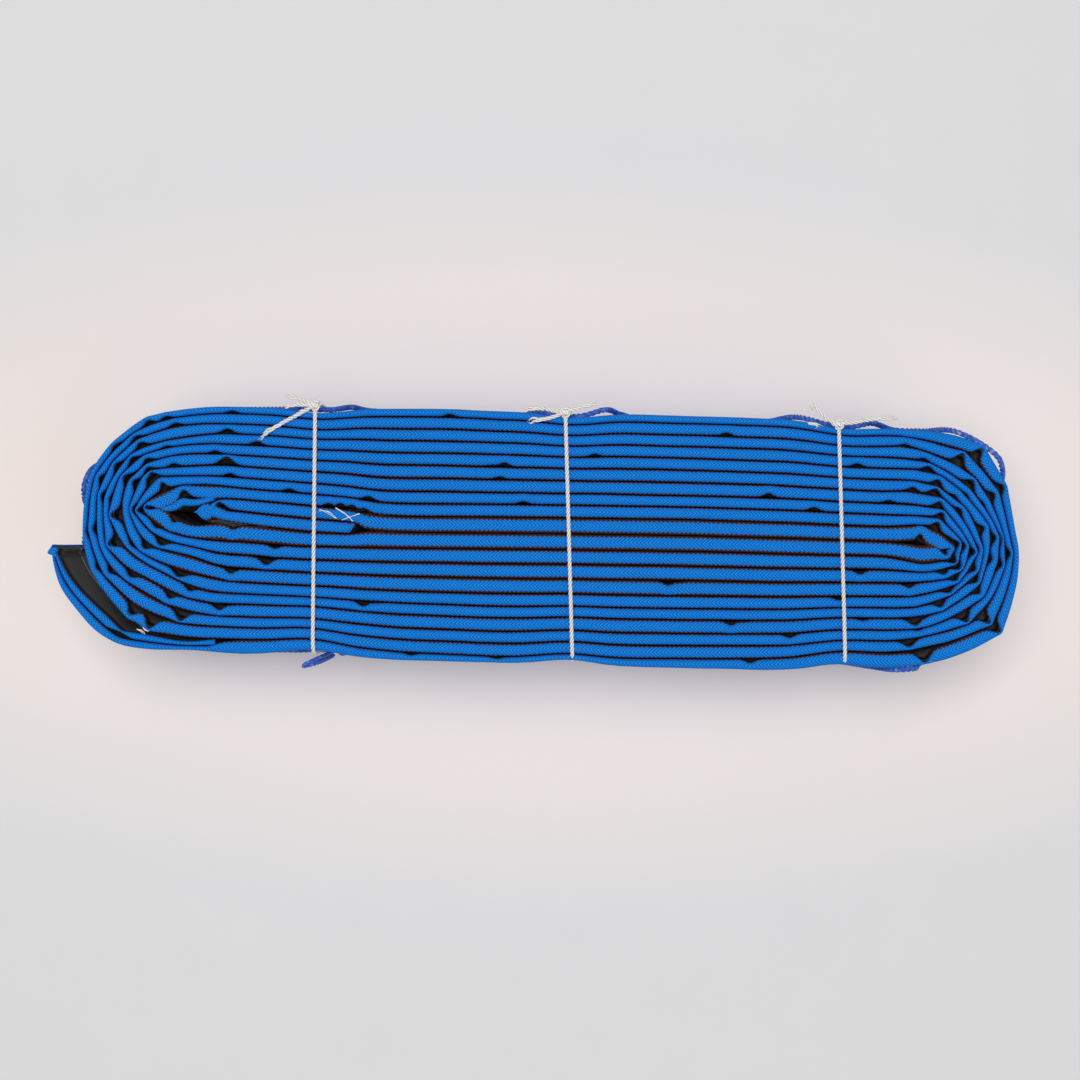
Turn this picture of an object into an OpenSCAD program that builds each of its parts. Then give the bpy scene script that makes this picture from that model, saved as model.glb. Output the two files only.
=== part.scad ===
// Rolled lay-flat fire hose.
// A flat woven hose is wound into a long roll that lies on its edge, with the inner end folded
// back into the middle and the outer end folded back as a flap. Three tied twines and a slack
// braided cord hold the roll.

/* [Hose] */
// Width of the hose when it lies flat, which is the height of the roll
hose_w = 105; // [90:1:115]
// Number of turns in the roll
turns = 10; // [8:1:11]
// Depth of the closed fold along each edge of the jacket
edge_fold = 3.6; // [3:0.1:6]
// Share of a strip's thickness that is left open between neighbouring turns
turn_gap = 0.08; // [0.06:0.01:0.2]

/* [Roll] */
// Distance from the middle slit to the far long side
top_y = 64.5; // [55:0.5:70]
// Distance from the frame's middle line to the near long side
bottom_y = 62; // [55:0.5:70]
// Reach of the innermost turn's fold to the right
inner_right = 205; // [180:1:215]
// Reach of the outermost turn to the right
outer_right = 239; // [230:1:245]
// Reach of the innermost turn's fold to the left
inner_left = 194; // [180:1:198]
// Reach of the outermost turn to the left
outer_left = 229.5; // [225:0.5:235]
// How far the far long side falls in towards the right end
top_fall = 4; // [0:0.5:6]
// How far the near long side falls in towards the right end
bottom_fall = 5; // [0:0.5:6]
// How far the long sides are drawn in under each twine
pinch = 3; // [2:0.1:4]

/* [Lashing] */
// Diameter of the twine
twine_d = 2.1; // [1.6:0.1:2.6]
// Diameter of the braided cord
cord_d = 3; // [2.4:0.1:3.2]
// Thickness of the loose yarns at the cut ends
yarn_d = 0.5; // [0.4:0.1:0.8]
// Places of the three twines along the roll
twine_left_x = -113; // [-118:1:-108]
twine_middle_x = 14.5; // [5:0.5:20]
twine_right_x = 151; // [145:1:156]

/* [Hidden] */

blue = [0.05, 0.44, 0.78];
rubber = [0.2, 0.2, 0.2];
white = [0.93, 0.91, 0.88];
cord_blue = [0.13, 0.27, 0.6];

clear = 0.15;                // room between a twine and what it lies on
edge = turn_gap / 2;         // share of a turn left open on either side of a strip
frame_shift = [2.7, -1.2, 0]; // puts the middle of the whole part over the origin

function mix(a, b, t) = a + (b - a) * t;
function ease(t) = let(c = min(1, max(0, t))) c * c * (3 - 2 * c);
function reversed(list) = [for (i = [len(list) - 1:-1:0]) list[i]];

// ---- the roll: closed curves nested one in the next, numbered by level from the slit out ----

cap_power = 0.86;            // below 1 makes the round ends squarer
slit_level = 3;              // height of the middle slit above the middle line
slit_tilt = 0.012;
fold_back_t = 5.6;           // thickness of the inner end where it lies folded back in the slit
inner_end_x = -92;           // the inner cut end
inner_fold_x = -171;         // the hairpin where the inner end is folded back
last_x = -140;               // where the outermost strip starts to leave the roll

function swell(v) = sign(v) * pow(abs(v), cap_power);
function near_twine(x) = max([for (t = [twine_left_x, twine_middle_x, twine_right_x])
    1 - ease((abs(x - t) - 4) / 12)]);
function slit_y(x) = slit_level + slit_tilt * x;
function fold_room(x) = fold_back_t * ease((inner_end_x + 14 - x) / 12);
function fall(x) = ease((x - 100) / 100);
function top_at(x) = top_y - top_fall * fall(x);
function bottom_at(x) = bottom_y - bottom_fall * fall(x);
function side(s, x, reach) = mix(0, reach, s / turns) - pinch * near_twine(x) * pow(s / turns, 3);
function upper(s, x) = (slit_y(x) + fold_room(x)) * (1 - s / turns) + side(s, x, top_at(x));
function lower(s, x) = slit_y(x) * (1 - s / turns) - side(s, x, bottom_at(x));

function right_reach(s) = mix(inner_right, outer_right, s / turns);
function left_reach(s) = mix(inner_left, outer_left, s / turns);
function right_cap_len(s) = mix(14, 50, s / turns);
function left_cap_len(s) = mix(22, 62, s / turns);
function right_straight(s) = right_reach(s) - right_cap_len(s);
function left_straight(s) = -(left_reach(s) - left_cap_len(s));

// A point of a round end: a is 90 at the top, 0 or 180 at the tip and -90 at the bottom
function cap_point(x0, len, s, a) =
    let(y0 = slit_y(x0), rise = sin(a) > 0 ? upper(s, x0) - y0 : y0 - lower(s, x0))
    [x0 + len * swell(cos(a)), y0 + rise * swell(sin(a))];
function right_point(s, a) = cap_point(right_straight(s), right_cap_len(s), s, a);
function left_point(s, a) = cap_point(left_straight(s), left_cap_len(s), s, a);

// Places along a straight side: closer together where the twines draw it in
stations = concat(
    [-145, inner_end_x + 2, inner_end_x + 8, inner_end_x + 14, -40, 60, 100],
    [for (t = [twine_left_x, twine_middle_x, twine_right_x], d = [-15, -5, 5, 15]) t + d]
);
function sorted(list) = len(list) < 2 ? list :
    let(p = list[floor(len(list) / 2)])
    concat(sorted([for (v = list) if (v < p) v]), [p], sorted([for (v = list) if (v > p) v]));
ordered = sorted(stations);

function top_run(s, from) = [for (x = ordered) if (x > from && x < right_straight(s) - 3) [x, upper(s, x)]];
function bottom_run(s, to) = [for (x = reversed(ordered)) if (x > to && x < right_straight(s) - 3) [x, lower(s, x)]];
function right_turn(s) = [for (a = [90:-18:-90]) right_point(s, a)];
// The roll grows by one level each time the strip goes round the left end
function left_turn(s) = [for (i = [0:10]) left_point(s + i / 10, -90 - 18 * i)];

// One long side face of the strip, at a share o of the way from one level to the next
function face(o) = concat(
    [for (k = [0:turns - 1]) each concat(
        top_run(k + o, k == 0 ? inner_fold_x + 8 : left_straight(k + o) + 3),
        right_turn(k + o),
        bottom_run(k + o, k == turns - 1 ? last_x : left_straight(k + o) + 3),
        k == turns - 1 ? [] : left_turn(k + o)
    )]
);

// The inner end lies under the first strip, in the slit
function inner_end(rise) = [for (x = [inner_end_x, -130, inner_fold_x + 7]) [x, slit_y(x) + rise]];
fold_outer = [[inner_fold_x, 2.4], [inner_fold_x - 3, 5], [inner_fold_x - 2, 9], [inner_fold_x + 2, 11.4]];
fold_inner = [for (rise = [0.05, 0.12, 0.19, 0.26]) [inner_fold_x + 6, slit_y(inner_fold_x) + fold_back_t + rise]];

// The outer end leaves the roll as a flap and is folded back along its own inner side
flap_out = [[-168, -62], [-190, -61], [-208, -57], [-222, -49.5], [-233, -37.5], [-240, -25], [-243, -15]];
flap_tip = [-244, -11];
function flap_side(d) = [for (i = [0:len(flap_out) - 1])
    let(a = flap_out[max(0, i - 1)], b = i == len(flap_out) - 1 ? flap_tip : flap_out[i + 1],
        along = (b - a) / norm(b - a))
    flap_out[i] + d * [along[1], -along[0]]];

outer_face = concat(
    inner_end(0.4), fold_outer, face(1 - edge), flap_side(0),
    [flap_tip, flap_tip + [1.2, 1], flap_tip + [3.6, 1.4], flap_tip + [5.6, 0]], reversed(flap_side(5.9))
);
inner_face = concat(
    inner_end(fold_back_t - 0.1), fold_inner, face(edge), flap_side(2.8),
    [for (d = [2.6, 2.7, 2.8, 2.9]) flap_tip + [d, -2]], reversed(flap_side(3.1))
);

// The strip between two shares of its own thickness; run_out lengthens both cut ends
module strip(a, b, run_out = 0) {
    function rail(t) = [for (i = [0:len(inner_face) - 1]) mix(inner_face[i], outer_face[i], t)];
    function longer(list) = let(n = len(list) - 1) concat(
        [list[0] + run_out * (list[0] - list[1]) / norm(list[0] - list[1])],
        [for (i = [1:n - 1]) list[i]],
        [list[n] + run_out * (list[n] - list[n - 1]) / norm(list[n] - list[n - 1])]);
    polygon(concat(longer(rail(a)), reversed(longer(rail(b)))));
}

// The slots that the twines have pressed into the bottom edges
module twine_slots() {
    for (t = [twine_left_x, twine_middle_x, twine_right_x])
        translate([t, 0, 0]) rotate(twine_slant(t)) translate([-twine_d / 2 - clear, -90, -1])
            cube([twine_d + 2 * clear, 180, twine_d + 2 * clear + 1]);
}

module hose_jacket() {
    color(blue) translate(frame_shift) difference() {
        linear_extrude(hose_w) strip(0, 1);
        translate([0, 0, edge_fold]) linear_extrude(hose_w - 2 * edge_fold) strip(0.27, 0.73, 2);
        twine_slots();
    }
}

module hose_liner() {
    color(rubber) translate(frame_shift) difference() {
        translate([0, 0, edge_fold + 0.2]) linear_extrude(hose_w - 2 * edge_fold - 0.4) strip(0.3, 0.7);
        translate([0, 0, edge_fold + 1.2]) linear_extrude(hose_w - 2 * edge_fold - 2.4) strip(0.46, 0.54, 2);
    }
}

// ---- twines ----

bend_r = 4.5;                // radius of a twine's bend over the edge of the roll
loop_top = hose_w + clear + twine_d / 2;
loop_low = clear / 2 + twine_d / 2;
// The far run passes over the braided cord, and the near run lies straight on the hose
function loop_far(x) = top_at(x) - pinch + cord_d + clear * 2 + twine_d / 2;
function loop_near(x) = bottom_at(x) - pinch + clear * 2 + twine_d / 2;

function twine_slant(x) = x < 0 ? 1 : 3.2;

module bar(length) { cylinder(h = length, d = twine_d, $fn = 24); }
module bend(a) { rotate([0, 90, 0]) rotate(a) rotate_extrude(angle = 90, $fn = 48) translate([bend_r, 0]) circle(d = twine_d, $fn = 24); }

// A twine's loop round the roll: four straight stretches joined by four bends
module twine_loop(x) {
    far = loop_far(x);
    near = loop_near(x);
    translate([x, 0, 0]) rotate(twine_slant(x)) union() {
        for (z = [loop_low, loop_top])
            translate([0, bend_r - near, z]) rotate([-90, 0, 0]) bar(near + far - 2 * bend_r);
        for (y = [-near, far])
            translate([0, y, loop_low + bend_r]) bar(loop_top - loop_low - 2 * bend_r);
        translate([0, far - bend_r, loop_top - bend_r]) bend(90);
        translate([0, bend_r - near, loop_top - bend_r]) bend(180);
        translate([0, bend_r - near, loop_low + bend_r]) bend(270);
        translate([0, far - bend_r, loop_low + bend_r]) bend(0);
    }
}

// A tight knot on the far edge, with the loop passing through it
knot_size = [8, 5.2];
function knot_place(x) = [x - loop_far(x) * sin(twine_slant(x)), loop_far(x) - 1.6, hose_w + 1.4];
module knot(x) {
    difference() {
        translate(knot_place(x)) rotate([0, 90, 0]) union() {
            translate([0, 0, (knot_size[1] - knot_size[0]) / 2])
                cylinder(h = knot_size[0] - knot_size[1], d = knot_size[1], $fn = 32);
            for (z = [-1, 1]) translate([0, 0, z * (knot_size[0] - knot_size[1]) / 2])
                sphere(d = knot_size[1], $fn = 32);
        }
        twine_loop(x);
    }
}

// A round tube of n sides swept along a route of points
module tube(route, d, n = 8) {
    last = len(route) - 1;
    function heading(i) = let(v = route[min(last, i + 1)] - route[max(0, i - 1)]) v / norm(v);
    function across(i) = let(v = cross(heading(i), abs(heading(i)[2]) > 0.9 ? [1, 0, 0] : [0, 0, 1])) v / norm(v);
    points = [for (i = [0:last], k = [0:n - 1])
        route[i] + d / 2 * (cos(360 * k / n) * across(i) + sin(360 * k / n) * cross(across(i), heading(i)))];
    walls = [for (i = [0:last - 1], k = [0:n - 1]) let(m = (k + 1) % n)
        [i * n + k, i * n + m, (i + 1) * n + m, (i + 1) * n + k]];
    polyhedron(points, concat([[for (k = [n - 1:-1:0]) k]], walls, [[for (k = [0:n - 1]) last * n + k]]), 4);
}

// Tails: each starts just outside its knot; z is measured from the top of the roll
function over_top(list) = [for (p = list) [p[0], p[1], p[2] + hose_w]];
left_long_tail = over_top([[-118, 62, 1.4], [-123, 59, 1.3], [-130, 55, 1.3], [-137, 50.5, 1.3], [-142, 47, 1.3]]);
left_upper_tail = over_top([[-118.5, 65.5, 1.6], [-122, 67, 1.6], [-126, 68, 1.8], [-129, 68.5, 1.9]]);
left_lower_tail = over_top([[-119, 64, 3.6], [-124, 64, 2.8], [-130.5, 63, 1.5]]);
middle_long_tail = over_top([[6, 64.5, 1.6], [1, 65.5, 1.6], [-5, 65.5, 1.5], [-10.5, 65, 1.3]]);
middle_short_tail = over_top([[6, 62, 1.6], [1, 60.5, 1.4], [-3, 60, 1.3], [-7.5, 59.5, 1.3]]);
middle_right_tail = over_top([[15.5, 65.8, 1.8], [20, 67, 2], [24, 68.5, 2.2], [27.5, 70, 2.2]]);
right_long_tail = over_top([[152.8, 62.6, 1.8], [158, 63.6, 1.6], [164, 64.8, 1.4], [171, 65.6, 1.4], [177.5, 66, 1.4]]);
right_left_tail = over_top([[141.5, 64.5, 1.8], [137.5, 68, 1.8], [133, 72, 1.8]]);
offcut = over_top([[132, 62, 1.3], [136, 61.6, 1.3], [138, 61, 1.3]]);

// ---- braided cord: once round the roll, high beside the knots and corners, low elsewhere ----

cord_route = [
    [-108, -62.9, 30], [-119, -63, 22], [-130, -64, 16], [-168, -64.4, 16], [-192, -63.2, 18],
    [-210, -59.6, 20], [-225, -51.6, 22], [-236, -39, 22], [-243, -26, 22], [-247, -11, 26],
    [-244, 0, 36], [-236.5, 8, 58], [-231.5, 15, 92], [-230.3, 21, 98], [-229, 28, 93],
    [-226, 36, 64], [-220.8, 44, 40], [-207.5, 57, 24], [-190, 64.8, 16], [-168, 66.8, 16],
    [-134, 66.6, 40], [-126, 66.4, 66], [-118, 63.2, 90], [-108, 63.2, 90], [-100, 66.4, 66],
    [-92, 66.6, 40], [-40, 66.6, 16], [-14, 67, 30], [-3, 67, 64], [9, 63.3, 88], [20, 63.2, 98],
    [30, 66.4, 96], [40, 66.8, 64], [56, 66.6, 26], [100, 66.6, 16], [118, 66.6, 40],
    [131, 66.4, 84], [145, 61.9, 98], [155, 61.4, 98], [165, 63.6, 94], [174, 64.4, 72],
    [186, 63.3, 52], [198, 62.4, 66], [208, 60.4, 98], [221.8, 53.6, 100], [229, 47.6, 101],
    [233, 40.6, 94], [237.2, 32, 66], [240.9, 20, 34], [241.6, 5, 22], [239.6, -18, 18],
    [233.2, -36, 18], [222.8, -49, 22], [209, -57, 38], [197, -58.9, 74], [189, -59.7, 98],
    [181, -60.2, 99], [173, -60.4, 78], [164, -60.5, 46], [156, -60.7, 28], [146, -61.2, 20],
    [132, -62.9, 16], [100, -64, 16], [30, -64.1, 16], [14, -63.2, 16], [-2, -64.1, 16],
    [-40, -64.1, 16], [-92, -64.1, 18], [-101, -63.8, 26], [-104.6, -63.3, 48]
];
bight_route = [
    [-109.2, -64, 38], [-109.2, -63.8, 64], [-109.4, -63.6, 88], [-110.6, -64, 97],
    [-113.4, -65.1, 101.2], [-117, -66.4, 102.2]
];

// ---- loose yarns at the cut ends ----

module yarns(list) { for (p = list) translate(p[0]) rotate([0, 90, p[2]]) cylinder(h = p[1], d = yarn_d, $fn = 16); }
yarn_z = hose_w + 0.4;
inner_yarns = [
    [[-109, 10, yarn_z], 7, -18], [[-101, 8.4, yarn_z], 8, 12],
    [[-99, 11.9, yarn_z], 9, -8], [[-97, 7, yarn_z], 8, 6]
];
outer_yarns = [[[-199.5, -50.6, yarn_z], 4, -30], [[-197, -49.6, yarn_z], 4, -24]];

module placed(c) { color(c) translate(frame_shift) children(); }

module twine_left_loop() { placed(white) twine_loop(twine_left_x); }
module twine_middle_loop() { placed(white) twine_loop(twine_middle_x); }
module twine_right_loop() { placed(white) twine_loop(twine_right_x); }
module twine_left_knot() { placed(white) knot(twine_left_x); }
module twine_middle_knot() { placed(white) knot(twine_middle_x); }
module twine_right_knot() { placed(white) knot(twine_right_x); }
module twine_left_long_tail() { placed(white) tube(left_long_tail, twine_d); }
module twine_left_upper_tail() { placed(white) tube(left_upper_tail, twine_d); }
module twine_left_lower_tail() { placed(white) tube(left_lower_tail, twine_d); }
module twine_middle_long_tail() { placed(white) tube(middle_long_tail, twine_d); }
module twine_middle_short_tail() { placed(white) tube(middle_short_tail, twine_d); }
module twine_middle_right_tail() { placed(white) tube(middle_right_tail, twine_d); }
module twine_right_long_tail() { placed(white) tube(right_long_tail, twine_d); }
module twine_right_left_tail() { placed(white) tube(right_left_tail, twine_d); }
module twine_offcut() { placed(white) tube(offcut, twine_d); }
module lashing_cord() { placed(cord_blue) tube(cord_route, cord_d); }
module lashing_cord_bight() { placed(cord_blue) tube(bight_route, cord_d); }
module inner_end_yarns() { placed(white) yarns(inner_yarns); }
module outer_end_yarns() { placed(white) yarns(outer_yarns); }

hose_jacket();
hose_liner();
twine_left_loop();
twine_middle_loop();
twine_right_loop();
twine_left_knot();
twine_middle_knot();
twine_right_knot();
twine_left_long_tail();
twine_left_upper_tail();
twine_left_lower_tail();
twine_middle_long_tail();
twine_middle_short_tail();
twine_middle_right_tail();
twine_right_long_tail();
twine_right_left_tail();
twine_offcut();
lashing_cord();
lashing_cord_bight();
inner_end_yarns();
outer_end_yarns();
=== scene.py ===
import math

import bmesh
import bpy
import mathutils
import numpy as np
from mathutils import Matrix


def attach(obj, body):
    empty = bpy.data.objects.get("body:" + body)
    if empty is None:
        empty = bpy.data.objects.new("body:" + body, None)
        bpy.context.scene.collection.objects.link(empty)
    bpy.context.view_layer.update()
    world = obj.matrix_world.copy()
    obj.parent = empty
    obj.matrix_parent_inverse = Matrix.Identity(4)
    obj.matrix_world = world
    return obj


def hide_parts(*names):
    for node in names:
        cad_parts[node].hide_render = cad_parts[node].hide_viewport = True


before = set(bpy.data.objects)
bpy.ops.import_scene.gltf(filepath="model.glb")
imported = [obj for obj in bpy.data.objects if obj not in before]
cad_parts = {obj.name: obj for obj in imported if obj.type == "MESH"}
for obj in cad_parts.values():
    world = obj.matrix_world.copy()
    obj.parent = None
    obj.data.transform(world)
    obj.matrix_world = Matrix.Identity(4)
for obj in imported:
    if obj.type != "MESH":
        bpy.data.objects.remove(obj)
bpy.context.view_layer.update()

mm = 0.001
shift = np.array((2.7, -1.2, 0.0))  # the part's frame shift, in millimetres
hoseWidth = 105.0  # laid flat, in millimetres; the roll stands this high on its edge
chance = np.random.default_rng(65)


def toLinear(code):  # an sRGB hex colour as linear RGBA
    parts = [int(code[i:i + 2], 16) / 255 for i in (1, 3, 5)]
    linear = [p / 12.92 if p <= 0.04045 else ((p + 0.055) / 1.055) ** 2.4 for p in parts]
    return (*linear, 1.0)


def addNode(tree, kind, inputs=None, **settings):
    node = tree.nodes.new("ShaderNode" + kind)
    for key, value in settings.items():
        setattr(node, key, value)
    for key, value in (inputs or {}).items():
        if isinstance(value, bpy.types.NodeSocket):
            tree.links.new(value, node.inputs[key])
        else:
            node.inputs[key].default_value = value
    return node


# Camera: straight above the roll, turned a little, as a copy stand holds it

cameraSetup = {
    "height": 0.92,       # above the roll's top edges
    "turn": 1.6,          # degrees
    "field": 0.540,       # width of view at the top edges
}


def addCamera(setup):
    camera = bpy.data.objects.new("camera", bpy.data.cameras.new("camera"))
    bpy.context.collection.objects.link(camera)
    camera.data.sensor_width = 36
    camera.data.lens = 36 * setup["height"] / setup["field"]
    camera.location = (shift[0] * mm, shift[1] * mm, hoseWidth * mm + setup["height"])
    camera.rotation_euler = (0, 0, math.radians(setup["turn"]))
    bpy.context.scene.camera = camera


addCamera(cameraSetup)
print("camera in place")


# Shared shapes

def addTube(bm, rows, uvRows, marks=None):
    # a closed tube through rows of points; the last column lies on the first
    count, columns = rows.shape[:2]
    uvLayer = bm.loops.layers.uv.get("UVMap") or bm.loops.layers.uv.new("UVMap")
    markLayer = bm.verts.layers.float.get("mark") or bm.verts.layers.float.new("mark")
    made = bmesh.ops.create_grid(bm, x_segments=columns - 1, y_segments=count - 1, size=1)
    verts = made["verts"]
    flat = (rows.reshape(-1, 3) + shift) * mm
    flatUv = uvRows.reshape(-1, 2) * mm
    place = {}
    for i, vert in enumerate(verts):
        vert.co = flat[i]
        vert[markLayer] = 0.0 if marks is None else float(marks.reshape(-1)[i])
        place[vert] = i
    for face in {face for vert in verts for face in vert.link_faces}:
        face.smooth = True
        for loop in face.loops:
            loop[uvLayer].uv = flatUv[place[loop.vert]]
    bmesh.ops.remove_doubles(bm, verts=verts, dist=1e-8)
    rims = [edge for edge in bm.edges if edge.is_boundary]
    for face in bmesh.ops.holes_fill(bm, edges=rims, sides=0)["faces"]:
        face.smooth = False


def finishPiece(bm, name, material, replaced):
    bmesh.ops.recalc_face_normals(bm, faces=bm.faces)
    mesh = bpy.data.meshes.new(name)
    bm.to_mesh(mesh)
    bm.free()
    piece = bpy.data.objects.new(name, mesh)
    bpy.context.collection.objects.link(piece)
    mesh.materials.append(material)
    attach(piece, "root")
    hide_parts(*replaced)
    return piece


def smoothLine(points, step):
    # a centripetal Catmull-Rom curve through the points, at an even step
    pts = np.array(points, float)
    pts = np.vstack([2 * pts[0] - pts[1], pts, 2 * pts[-1] - pts[-2]])
    out = []
    for p0, p1, p2, p3 in zip(pts, pts[1:], pts[2:], pts[3:]):
        t1 = np.linalg.norm(p1 - p0) ** 0.5 + 1e-9
        t2 = t1 + np.linalg.norm(p2 - p1) ** 0.5 + 1e-9
        t3 = t2 + np.linalg.norm(p3 - p2) ** 0.5 + 1e-9
        pieces = max(4, int(np.linalg.norm(p2 - p1) / step))
        for t in np.linspace(t1, t2, pieces, endpoint=False):
            a1 = (t1 - t) / t1 * p0 + t / t1 * p1
            a2 = (t2 - t) / (t2 - t1) * p1 + (t - t1) / (t2 - t1) * p2
            a3 = (t3 - t) / (t3 - t2) * p2 + (t - t2) / (t3 - t2) * p3
            b1 = (t2 - t) / t2 * a1 + t / t2 * a2
            b2 = (t3 - t) / (t3 - t1) * a2 + (t - t1) / (t3 - t1) * a3
            out.append((t2 - t) / (t2 - t1) * b1 + (t - t1) / (t2 - t1) * b2)
    out.append(pts[-2])
    return evenly(np.array(out), step)


def distances(line):  # how far along the line each of its points lies
    return np.concatenate([[0], np.cumsum(np.linalg.norm(np.diff(line, axis=0), axis=1))])


def unit(vectors):
    return vectors / np.linalg.norm(vectors, axis=1)[:, None]


def evenly(line, step):
    along = distances(line)
    at = np.linspace(0, along[-1], max(2, int(round(along[-1] / step)) + 1))
    return np.stack([np.interp(at, along, line[:, k]) for k in range(line.shape[1])], axis=1)


def lineLength(line):
    return float(np.linalg.norm(np.diff(line, axis=0), axis=1).sum())


def carriedFrames(line):
    # two directions square to the line, carried along it without twist
    tangents = unit(np.gradient(line, axis=0))
    side = np.cross(tangents[0], (0, 0, 1.0))
    if np.linalg.norm(side) < 0.2:
        side = np.cross(tangents[0], (1.0, 0, 0))
    sides = []
    for tangent in tangents:
        side = side - tangent * np.dot(side, tangent)
        side = side / np.linalg.norm(side)
        sides.append(side)
    sides = np.array(sides)
    return sides, np.cross(tangents, sides)


def addStrand(bm, line, radius, lay, plies=3, lobe=6, taper=None):
    # a rope of round plies laid round each other; plies=1 is a plain round strand
    sides, ups = carriedFrames(line)
    at = distances(line)
    angles = np.linspace(0, 2 * math.pi, plies * lobe + 1)
    if plies > 1:
        local = (angles + math.pi / plies) % (2 * math.pi / plies) - math.pi / plies
        far, ply = 0.48, 0.52  # a ply's centre and radius, as shares of the rope's
        outline = far * np.cos(local) + np.sqrt(ply ** 2 - (far * np.sin(local)) ** 2)
    else:
        outline = np.ones(len(angles))
    size = radius * np.ones(len(at)) if taper is None else radius * taper(at / at[-1])
    twist = 2 * math.pi * at[:, None] / lay
    reach = size[:, None] * outline[None, :]
    rows = (line[:, None, :]
            + (reach * np.cos(angles + twist))[:, :, None] * sides[:, None, :]
            + (reach * np.sin(angles + twist))[:, :, None] * ups[:, None, :])
    uv = np.stack(np.broadcast_arrays(at[:, None], angles[None, :] / (2 * math.pi) / mm), axis=2)
    addTube(bm, rows, uv)


# Lashing cord: a blue plaited cord, tied once round the roll under the twines

lashing = {
    "diameter": 3.0,
    "lay": 9.0,           # one turn of the plait
    "route": [
        (-108, -62.9, 30), (-119, -63, 22), (-130, -64, 16), (-168, -64.4, 16), (-192, -63.2, 18),
        (-210, -59.6, 20), (-225, -51.6, 22), (-236, -39, 22), (-243, -26, 22), (-247, -11, 26),
        (-244, 0, 36), (-236.5, 8, 58), (-231.5, 15, 92), (-230.3, 21, 98), (-229, 28, 93),
        (-226, 36, 64), (-220.8, 44, 40), (-207.5, 57, 24), (-190, 64.8, 16), (-168, 66.8, 16),
        (-134, 66.6, 40), (-126, 66.4, 66), (-118, 63.2, 90), (-108, 63.2, 90), (-100, 66.4, 66),
        (-92, 66.6, 40), (-40, 66.6, 16), (-14, 67, 30), (-3, 67, 64), (9, 63.3, 88),
        (20, 63.2, 98), (30, 66.4, 96), (40, 66.8, 64), (56, 66.6, 26), (100, 66.6, 16),
        (118, 66.6, 40), (131, 66.4, 84), (145, 61.9, 98), (155, 61.4, 98), (165, 63.6, 94),
        (174, 64.4, 72), (186, 63.3, 52), (198, 62.4, 66), (208, 60.4, 98), (221.8, 53.6, 100),
        (229, 47.6, 101), (233, 40.6, 94), (237.2, 32, 66), (240.9, 20, 34), (241.6, 5, 22),
        (239.6, -18, 18), (233.2, -36, 18), (222.8, -49, 22), (209, -57, 38), (197, -58.9, 74),
        (189, -59.7, 98), (181, -60.2, 99), (173, -60.4, 78), (164, -60.5, 46), (156, -60.7, 28),
        (146, -61.2, 20), (132, -62.9, 16), (100, -64, 16), (30, -64.1, 16), (14, -63.2, 16),
        (-2, -64.1, 16), (-40, -64.1, 16), (-92, -64.1, 18), (-101, -63.8, 26),
        (-104.6, -63.3, 48)
    ],
    "bight": [
        (-109.2, -64, 38), (-109.2, -63.8, 64), (-109.4, -63.6, 88), (-110.6, -64, 97),
        (-113.4, -65.1, 101.2), (-117, -66.4, 102.2)
    ],
}


def plaitedPolyester():
    # plaited polyester cord: matt blue plies with a few sun-bleached yellow-grey yarns
    material = bpy.data.materials.new("plaited_polyester")
    material.use_nodes = True
    tree = material.node_tree
    shader = tree.nodes["Principled BSDF"]
    shader.inputs["Roughness"].default_value = 0.8
    uv = addNode(tree, "UVMap", uv_map="UVMap").outputs["UV"]
    stretched = addNode(tree, "Mapping", {"Vector": uv, "Scale": (420, 3, 1)}).outputs["Vector"]
    flecks = addNode(tree, "TexNoise", {"Vector": stretched, "Scale": 1.0, "Detail": 2.0})
    picked = addNode(tree, "ValToRGB", {"Fac": flecks.outputs["Fac"]})
    ramp = picked.color_ramp
    ramp.elements[0].position = 0.42
    ramp.elements[0].color = toLinear("#2356BC")
    ramp.elements[1].position = 0.66
    ramp.elements[1].color = toLinear("#5A84D6")
    last = ramp.elements.new(0.7)
    last.color = toLinear("#AEAA84")
    tree.links.new(picked.outputs["Color"], shader.inputs["Base Color"])
    yarns = addNode(tree, "Mapping", {"Vector": uv, "Scale": (1800, 24, 1)}).outputs["Vector"]
    grain = addNode(tree, "TexNoise", {"Vector": yarns, "Scale": 1.0, "Detail": 1.0})
    bump = addNode(tree, "Bump", {"Height": grain.outputs["Fac"], "Strength": 0.5,
                                  "Distance": 0.0002})
    tree.links.new(bump.outputs["Normal"], shader.inputs["Normal"])
    return material


def rounded(share):  # closes a strand's two ends
    return np.clip(np.minimum(share, 1 - share) * 300, 0.15, 1) ** 0.5


def makeLashing(parts):
    material = plaitedPolyester()
    radius = parts["diameter"] / 2
    bm = bmesh.new()  # the doubled loop: out along one side of its middle line, back on the other
    middle = smoothLine(parts["bight"], 0.5)
    sides, _ = carriedFrames(middle)
    spread = 1.05 * np.clip((1 - np.linspace(0, 1, len(middle))) * 9, 0, 1)[:, None] ** 0.5
    looped = np.vstack([middle + sides * spread, (middle - sides * spread)[::-1]])
    addStrand(bm, evenly(looped, 0.5), radius * 0.78, lay=parts["lay"], taper=rounded)
    bight = finishPiece(bm, "lashing_cord_loop", material,
                        ["lashing_cord_bight"])
    bm = bmesh.new()
    line = smoothLine(parts["route"], 0.8)
    addStrand(bm, line, radius, lay=parts["lay"], taper=rounded)
    cord = finishPiece(bm, "lashing_cord_round_roll", material,
                       ["lashing_cord"])


makeLashing(lashing)
print("lashing cord made")


# Twines: three-ply cotton tied round the roll, with knots and frayed tails

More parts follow.
